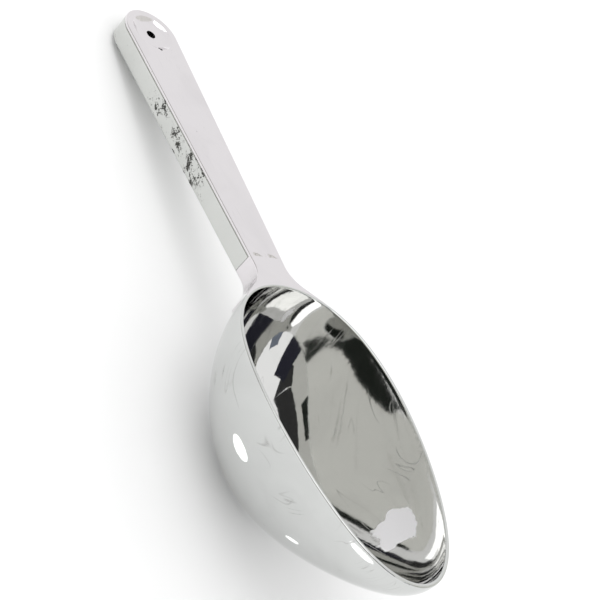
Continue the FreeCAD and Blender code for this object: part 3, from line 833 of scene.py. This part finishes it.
class Wear(Enum):
    """Whether the plating is whole or pitted."""

    CLEAN = 0
    PITTED = 1


@dataclass(frozen=True)
class Plating:
    """Bright plating over moulded plastic.

    Attributes:
        name: The material's name.
        colour: Colour of the clean plating.
        grime: Colour of what lies in the pits.
        roughness: Roughness of the clean plating.
        swell: Strength of the slow swells in the surface.
        swell_size: How many swells there are to the metre, roughly.
        scratches: Strength of the hairline scratches.
        scratch_turn: Direction of the scratches, in radians from +X.
        wear: Whether the plating is whole or pitted.
        pits: Density of the pits; about 1 is heavy.
        pit_grain: How fine the pits are, as their noise's scale.
        outside: Colour where the piece's wear_and_shade_side is 0, if it differs; on the bowl this darker
            copy of the plating is painted shade on its outside.
        painted_highlight: Middle and radius of a white matte spot, in metres, if there is one: a painted
        highlight standing in for a lamp's reflection. It is a ball, so on a thin wall it marks both skins.
        worn_stretch: Middle and half length along X of the stretch where pits gather, in metres.
    """

    name: str
    colour: tuple[float, float, float]
    grime: tuple[float, float, float] = (0.035, 0.035, 0.03)
    roughness: float = 0.04
    swell: float = 0.25
    swell_size: float = 70.0
    scratches: float = 0.5
    scratch_turn: float = 0.4
    wear: Wear = Wear.CLEAN
    pits: float = 0.0
    pit_grain: float = 1900.0
    outside: tuple[float, float, float] | None = None
    painted_highlight: tuple[float, float, float, float] | None = None
    worn_stretch: tuple[float, float] = (0.0, 1.0)

    def build(self, effects: dict[str, EffectGroup]) -> bpy.types.Material:
        """Make the material from the shared effects.

        Args:
            effects: The effect groups by name.

        Returns:
            The material.
        """
        material = bpy.data.materials.new(self.name)
        material.use_nodes = True
        material.node_tree.nodes.clear()
        net = NodeTree(material.node_tree)
        vector = net.node("ShaderNodeTexCoord").outputs["Object"]
        side = net.node("ShaderNodeAttribute", attribute_name="wear_and_shade_side").outputs["Fac"]
        swell = effects["swell"].place(net, vector, Size=self.swell_size, Peel=0.1)
        scratch = effects["scratch"].place(net, vector, Turn=self.scratch_turn, Amount=self.scratches)
        smudge = effects["smudge"].place(net, vector, Size=55.0)

        # Where the mark is 0 the outside colour stands in: a darker copy of the plating, painted shade on the
        # bowl's outside.
        clean = net.mix(side, (*(self.outside or self.colour), 1.0), (*self.colour, 1.0))
        base = net.mix(net.math("MULTIPLY", smudge["Mask"], 0.07), clean, SMUDGE_GREY)
        colour = net.mix(net.math("MULTIPLY", scratch["Mask"], 0.55), base, SCRATCH_GREY)
        rough = net.math("ADD", self.roughness, net.math("MULTIPLY", smudge["Mask"], 0.03))
        rough = net.math("ADD", rough, net.math("MULTIPLY", scratch["Mask"], 0.25))
        height = net.math("MULTIPLY", scratch["Mask"], -0.02)
        metal = 1.0
        if self.wear is not Wear.CLEAN:
            density = net.math("MULTIPLY", side, self.pits)
            middle, reach = self.worn_stretch
            pits = effects["pits"].place(
                net, vector, Density=density, Grain=self.pit_grain, Middle=middle, Reach=reach
            )
            colour = net.mix(pits["Mask"], colour, (*self.grime, 1.0))
            rough = net.math("ADD", rough, net.math("MULTIPLY", pits["Mask"], 0.5))
            height = net.math("ADD", height, net.math("MULTIPLY", pits["Height"], 0.2))
            metal = net.math("SUBTRACT", 1.0, net.math("MULTIPLY", pits["Mask"], 0.8))
        # A white, rough, less metallic spot: a painted highlight standing in for a lamp's reflection.
        if self.painted_highlight:
            x, y, z, radius = self.painted_highlight
            highlight_mask = effects["painted_highlight"].place(net, vector, X=x, Y=y, Z=z, Radius=radius)["Mask"]
            colour = net.mix(highlight_mask, colour, HIGHLIGHT_WHITE)
            rough = net.math("ADD", rough, net.math("MULTIPLY", highlight_mask, 0.45))
            metal = net.math("SUBTRACT", metal, net.math("MULTIPLY", highlight_mask, 0.75))
        soft = net.node("ShaderNodeBump", {
            "Height": swell["Height"], "Strength": self.swell, "Distance": 0.0006,
        })
        bump = net.node("ShaderNodeBump", {
            "Height": height, "Strength": 0.6, "Distance": 0.0002, "Normal": soft.outputs["Normal"],
        })
        shader = net.node("ShaderNodeBsdfPrincipled", {
            "Base Color": colour, "Roughness": rough, "Metallic": metal, "Normal": bump.outputs["Normal"],
        })
        net.node("ShaderNodeOutputMaterial", {"Surface": shader.outputs[0]})
        return material


# ------------ studio

@dataclass(frozen=True)
class Card:
    """A curved studio card, dark or grey, that only the plating's reflections see.

    Attributes:
        name: The card's name.
        corners: Its four corners in order, each as (azimuth from +X, elevation) in degrees.
        shade: Its colour.
        distance: Its distance from the origin, in metres.
    """

    name: str
    corners: tuple[tuple[float, float], ...]
    shade: tuple[float, float, float]
    distance: float = 3.0

    def grid(self, steps: int = 16) -> np.ndarray:
        """The card as a patch of a sphere about the origin.

        Azimuth and elevation are blended evenly between the four corners, and each pair becomes
        distance * (cos el cos az, cos el sin az, sin el).
        """
        c = np.radians(np.array(self.corners))
        u = np.linspace(0.0, 1.0, steps)[:, None, None]
        v = np.linspace(0.0, 1.0, steps)[None, :, None]
        pairs = (1 - u) * ((1 - v) * c[0] + v * c[1]) + u * ((1 - v) * c[3] + v * c[2])
        az, el = pairs[..., 0], pairs[..., 1]
        away = np.stack([np.cos(el) * np.cos(az), np.cos(el) * np.sin(az), np.sin(el)], axis=-1)
        return self.distance * away


@dataclass
class Studio:
    """The pale floor, the soft light, the cards, the glowing spots over the floor that paint highlights in
    the plating, and the camera.

    Attributes:
        lie: How the scoop lies, which the camera follows.
        floor_size: Half the floor's side, in metres.
        cards: The cards.
        glints: Middle x, y and half width of each lit spot, in millimetres.
        spot_squash: Depth of a spot along Y as a share of its width.
        spot_height: Height of the spots over the floor, in millimetres.
        spot_glow: Strength of the spots' light.
    """

    lie: Lie
    floor_size: float = 2.0
    cards: tuple[Card, ...] = ()
    glints: tuple[tuple[float, float, float], ...] = ()
    spot_squash: float = 0.6
    spot_height: float = 0.3
    spot_glow: float = 1.2

    def disc(self, x: float, y: float, radius: float) -> np.ndarray:
        """An oval spot just above the floor, as rings of points from its middle out, in metres."""
        turn = np.linspace(0.0, 2.0 * math.pi, 25)
        reach = np.linspace(0.001, radius, 3)[:, None]
        wide = x + reach * np.cos(turn)
        deep = y + self.spot_squash * reach * np.sin(turn)
        return MM * np.stack([wide, deep, np.full(wide.shape, self.spot_height)], axis=-1)

    def plain(self, name: str, shade: tuple[float, float, float], glow: float = 0.0) -> bpy.types.Material:
        """A flat paper or glowing material for what isn't part of the object."""
        material = bpy.data.materials.new(name)
        material.use_nodes = True
        shader = material.node_tree.nodes["Principled BSDF"]
        shader.inputs["Base Color"].default_value = (*shade, 1.0)
        shader.inputs["Roughness"].default_value = 0.9
        shader.inputs["Specular IOR Level"].default_value = 0.1
        shader.inputs["Emission Color"].default_value = (*shade, 1.0)
        shader.inputs["Emission Strength"].default_value = glow
        return material

    def sheet(self, name: str, grid: np.ndarray, material: bpy.types.Material) -> bpy.types.Object:
        """A sheet given as a grid of points in metres, with the given material."""
        rows, cols = grid.shape[:2]
        number = np.arange(rows * cols).reshape(rows, cols)
        quads = np.stack([number[:-1, :-1], number[1:, :-1], number[1:, 1:], number[:-1, 1:]], axis=-1)
        mesh = bpy.data.meshes.new(name)
        mesh.from_pydata(grid.reshape(-1, 3).tolist(), [], quads.reshape(-1, 4).tolist())
        mesh.materials.append(material)
        made = bpy.data.objects.new(name, mesh)
        bpy.context.scene.collection.objects.link(made)
        return made

    def build(self) -> None:
        """Lay the floor, hang the cards and set the world's light."""
        half = self.floor_size
        floor = np.array([[[-half, -half, 0.0], [half, -half, 0.0]], [[-half, half, 0.0], [half, half, 0.0]]])
        self.sheet("floor", floor, self.plain("floor_paper", (0.95, 0.95, 0.95)))
        unseen = []
        # Glowing discs that only the plating's reflections see: painted highlights on the bowl's outside.
        for number, (x, y, radius) in enumerate(self.glints):
            name = "lit_spot_%d" % number
            paint = self.plain(name, (1.0, 1.0, 1.0), self.spot_glow)
            unseen.append(self.sheet(name, self.disc(x, y, radius), paint))
        for card in self.cards:
            unseen.append(self.sheet(card.name, card.grid(), self.plain(card.name, card.shade)))
        for made in unseen:
            made.visible_camera = False
            made.visible_diffuse = False
            made.visible_shadow = False
        world = bpy.data.worlds.new("soft_white")
        world.use_nodes = True
        background = world.node_tree.nodes["Background"]
        background.inputs["Color"].default_value = (1.0, 1.0, 1.0, 1.0)
        background.inputs["Strength"].default_value = 1.0
        bpy.context.scene.world = world
        bpy.context.scene.view_settings.view_transform = "Standard"

    def lamp(self, name: str, place: tuple[float, float, float], size: float, power: float) -> None:
        """A square soft light aimed at the scoop."""
        data = bpy.data.lights.new(name, "AREA")
        data.shape = "SQUARE"
        data.size = size
        data.energy = power
        made = bpy.data.objects.new(name, data)
        made.location = place
        aim = Vector((0.0, 0.0, AIM_HEIGHT)) - Vector(place)
        made.rotation_euler = aim.to_track_quat("-Z", "Y").to_euler()
        bpy.context.scene.collection.objects.link(made)

    def aim_camera(self, azimuth: float, elevation: float, roll: float, distance: float,
                   target: tuple[float, float, float], lens: float) -> None:
        """Put the camera round the level scoop, then carry it over with the scoop's lie.

        Args:
            azimuth: Direction of the camera about +Z, in degrees from +X.
            elevation: Its angle above the level plane, in degrees.
            roll: Its turn about its own axis, in degrees.
            distance: Distance from the target, in millimetres.
            target: Point it looks at, in the level frame.
            lens: Focal length on a 36 mm sensor, in millimetres.
        """
        az, el, turn = (math.radians(angle) for angle in (azimuth, elevation, roll))
        back = np.array([math.cos(el) * math.cos(az), math.cos(el) * math.sin(az), math.sin(el)])
        level_right = np.cross([0.0, 0.0, 1.0], back)
        level_right /= np.linalg.norm(level_right)
        level_up = np.cross(back, level_right)
        right = math.cos(turn) * level_right + math.sin(turn) * level_up
        up = -math.sin(turn) * level_right + math.cos(turn) * level_up
        place = self.lie.place(np.array(target) + back * distance)
        axes = [self.lie.turn(axis) for axis in (right, up, back)]
        matrix = Matrix.Identity(4)
        for column, axis in enumerate([*axes, place]):
            for row in range(3):
                matrix[row][column] = axis[row]
        data = bpy.data.cameras.new("camera")
        data.lens = lens
        data.sensor_width = SENSOR_WIDTH
        data.clip_start = 0.01
        camera = bpy.data.objects.new("camera", data)
        camera.matrix_world = matrix
        bpy.context.scene.collection.objects.link(camera)
        bpy.context.scene.camera = camera


# ------------ the scoop

def hand_over(piece: bpy.types.Object, material: bpy.types.Material, slot: str, *nodes: str) -> None:
    """Dress a piece, tie it to the scoop's one body and hide the CAD nodes it stands for."""
    piece.data.materials.append(material)
    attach(piece, "root")
    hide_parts(*nodes)
    log.info("%s: %d faces, %s", piece.name, len(piece.data.polygons), material.name)


def main() -> None:
    """Build the scoop's pieces, the studio and the camera."""
    logging.basicConfig(level=logging.INFO, format="%(message)s")
    bowl = Bowl()
    handle = Handle()
    hole_z = (-handle.depth - handle.dish_depth + handle.flange) / 2.0
    lie = Lie.from_record(frame["record"], handle.end_x, hole_z)
    effects = {
        "swell": wave_group(), "scratch": scratch_group(), "smudge": smudge_group(), "pits": pit_group(),
        "painted_highlight": painted_highlight_group(),
    }
    # The bowl's plating: its darker outside colour is painted shade.
    bright = Plating(
        "bowl_plating", (0.72, 0.72, 0.71), swell=0.1, scratches=1.0,
        # The spot given here is a painted highlight.
        outside=(0.62, 0.63, 0.62), painted_highlight=(0.0738, 0.0181, 0.032, 0.0068),
    )
    top = Plating("handle_top_plating", (0.74, 0.715, 0.73), wear=Wear.PITTED, pits=0.5, scratches=0.2)
    # The under shell's colour is darker than the top's: painted shade on the handle's sides, over real pitted
    # wear.
    worn_shaded_side = Plating(
        "worn_and_shaded_side_plating", (0.62, 0.63, 0.61), roughness=0.08, wear=Wear.PITTED, pits=1.1,
        worn_stretch=(-0.048, 0.023),
    )
    steel = Plating("eyelet_plating", (0.66, 0.66, 0.65), roughness=0.12, scratches=0.2)

    hand_over(bowl.build(lie), bright.build(effects), "plated_body", "scoop_body")
    top_material = top.build(effects)
    hand_over(handle.build_plate(lie), top_material, "plated_body", "scoop_body")
    hand_over(Neck(handle, bowl).build(lie), top_material, "plated_body", "scoop_body")
    hand_over(handle.build_under_shell(lie), worn_shaded_side.build(effects), "plated_shell", "handle_under_shell")
    hand_over(handle.build_eyelet(lie), steel.build(effects), "eyelet_metal", "hang_eyelet")

    studio = Studio(lie, cards=(
        Card("grey_room_side", ((-170, 5), (-34, 5), (-34, 46), (-170, 46)), (0.5, 0.5, 0.47)),
        Card("dark_near_side", ((-94, 33), (-64, 33), (-64, 40.5), (-94, 40.5)), DARK, distance=0.21),
        Card("dark_far_side", ((66, 18), (31, 42), (29, 58), (44, 56)), DARK, distance=2.8),
        Card("dark_nose_side", ((-34, 14), (-15, 14), (-10, 48), (-34, 47)), (0.02, 0.02, 0.03),
             distance=2.79),
        Card("dim_ceiling", ((-114, 42), (-50, 43), (-28, 60), (-114, 64)), DIM, distance=2.81),
        Card("dim_corner", ((-50, 42), (-36, 34), (-24, 36), (-28, 60)), DIM, distance=2.81),
        Card("grey_ceiling", ((24, 5), (110, 5), (112, 72), (36, 72)), (0.83, 0.83, 0.79)),
        Card("blue_window", ((1, 14), (16, 14), (14, 33), (3, 30)), (0.16, 0.18, 0.22)),
    ), glints=((45.0, -32.0, 5.5), (78.5, -12.8, 2.6), (143.0, -70.0, 22.0)))
    studio.build()
    studio.lamp("key_light", (-0.3, -0.3, 1.3), size=1.0, power=4.0)
    studio.aim_camera(
        azimuth=-55.308, elevation=30.879, roll=43.487, distance=600.0, target=(-5.5015, 4.9416, 0.0),
        lens=132.9768,
    )


if __name__ == "__main__":
    main()
